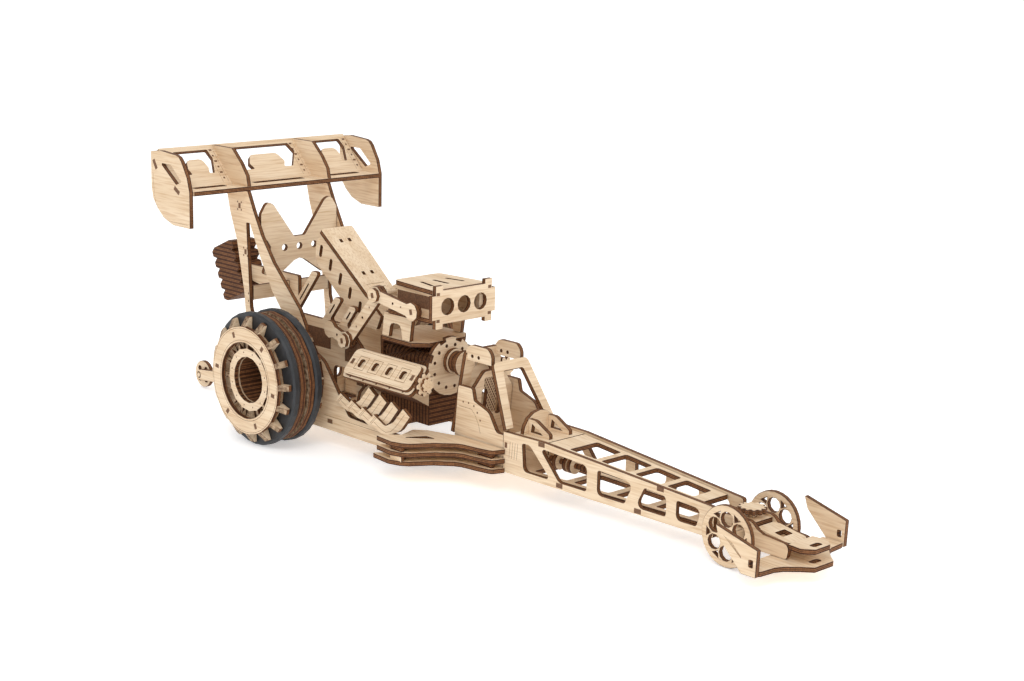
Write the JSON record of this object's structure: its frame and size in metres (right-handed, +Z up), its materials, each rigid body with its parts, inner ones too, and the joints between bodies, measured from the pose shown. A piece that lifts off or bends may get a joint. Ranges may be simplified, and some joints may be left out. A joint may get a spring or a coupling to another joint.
{
  "type": "drag_racing_car",
  "caption": "Mechanical model kit of a top-fuel dragster in 3 mm laser-cut birch plywood: tall rear wing, exposed engine, long narrow rails and rubber-banded rear wheels",
  "frame": {"origin": "on the ground under the middle of the model's overall footprint", "axes": "+X towards the nose, +Y to the car's left, +Z up"},
  "size_m": [0.5662, 0.1664, 0.1866],
  "materials": {
    "birch_ply": "matte",
    "burnt_ply": "matte",
    "black_rubber": "matte"
  },
  "bodies": {
    "body": {"blower_plate": "birch_ply", "body_side_left": "birch_ply", "body_side_right": "birch_ply", "bulkhead_front": "birch_ply", "bulkhead_rear": "birch_ply", "bumper": "birch_ply", "cockpit_cheek_left": "birch_ply", "cockpit_cheek_right": "birch_ply", "cross_brace": "birch_ply", "cylinder_head_left": "birch_ply", "cylinder_head_right": "birch_ply", "deck_bottom": "birch_ply", "deck_top": "birch_ply", "engine_block": "birch_ply", "engine_front_plate": "birch_ply", "floor": "birch_ply", "front_wing": "birch_ply", "gearbox_plate_left": "birch_ply", "gearbox_plate_right": "birch_ply", "headers_left": "birch_ply", "headers_right": "birch_ply", "lever": "birch_ply", "links": "birch_ply", "nose": "birch_ply", "nose_end_plate_left": "birch_ply", "nose_end_plate_right": "birch_ply", "parachute_arm": "birch_ply", "parachute_pack": "burnt_ply", "rail_left": "birch_ply", "rail_right": "birch_ply", "roll_cage": "birch_ply", "scoop_box": "birch_ply", "scoop_front": "birch_ply", "scuttle": "birch_ply", "seat": "birch_ply", "side_pod_left": "birch_ply", "side_pod_right": "birch_ply", "strut_left": "birch_ply", "strut_right": "birch_ply", "wheelie_bar": "birch_ply", "wing": "birch_ply", "wing_end_plate_left": "birch_ply", "wing_end_plate_right": "birch_ply"},
    "rear_axle": {"rear_axle": "birch_ply", "rear_wheel_left": "birch_ply", "rear_wheel_right": "birch_ply", "rear_band_inner_left": "black_rubber", "rear_band_inner_right": "black_rubber", "rear_band_outer_left": "black_rubber", "rear_band_outer_right": "black_rubber"},
    "front_axle": {"front_axle": "birch_ply"},
    "front_wheel_left": {"front_wheel_left": "birch_ply"},
    "front_wheel_right": {"front_wheel_right": "birch_ply"},
    "wheelie_wheels": {"wheelie_wheels": "birch_ply"},
    "pulley": {"pulley": "birch_ply"},
    "rotor_left": {"rotor_left": "birch_ply"},
    "rotor_right": {"rotor_right": "birch_ply"}
  },
  "joints": [
    {"name": "rear_axle_spin", "type": "hinge", "parent": "body", "child": "rear_axle", "pos_m": [-0.12785, 0, 0.0445], "axis": [0, 1, 0], "continuous": true},
    {"name": "steering", "type": "hinge", "parent": "body", "child": "front_axle", "pos_m": [0.23255, 0, 0.0178], "axis": [0, 0, 1], "range_deg": [-8, 8]},
    {"name": "front_left_spin", "type": "hinge", "parent": "front_axle", "child": "front_wheel_left", "pos_m": [0.23255, 0.0203, 0.0178], "axis": [0, 1, 0], "continuous": true},
    {"name": "front_right_spin", "type": "hinge", "parent": "front_axle", "child": "front_wheel_right", "pos_m": [0.23255, -0.0203, 0.0178], "axis": [0, 1, 0], "continuous": true},
    {"name": "wheelie_spin", "type": "hinge", "parent": "body", "child": "wheelie_wheels", "pos_m": [-0.27335, 0, 0.0105], "axis": [0, 1, 0], "continuous": true},
    {"name": "pulley_spin", "type": "hinge", "parent": "body", "child": "pulley", "pos_m": [-0.01535, 0, 0.067], "axis": [1, 0, 0], "continuous": true},
    {"name": "rotor_left_spin", "type": "hinge", "parent": "body", "child": "rotor_left", "pos_m": [-0.04335, 0.0092, 0.0635], "axis": [1, 0, 0], "continuous": true},
    {"name": "rotor_right_spin", "type": "hinge", "parent": "body", "child": "rotor_right", "pos_m": [-0.04335, -0.0092, 0.0635], "axis": [1, 0, 0], "continuous": true}
  ]
}
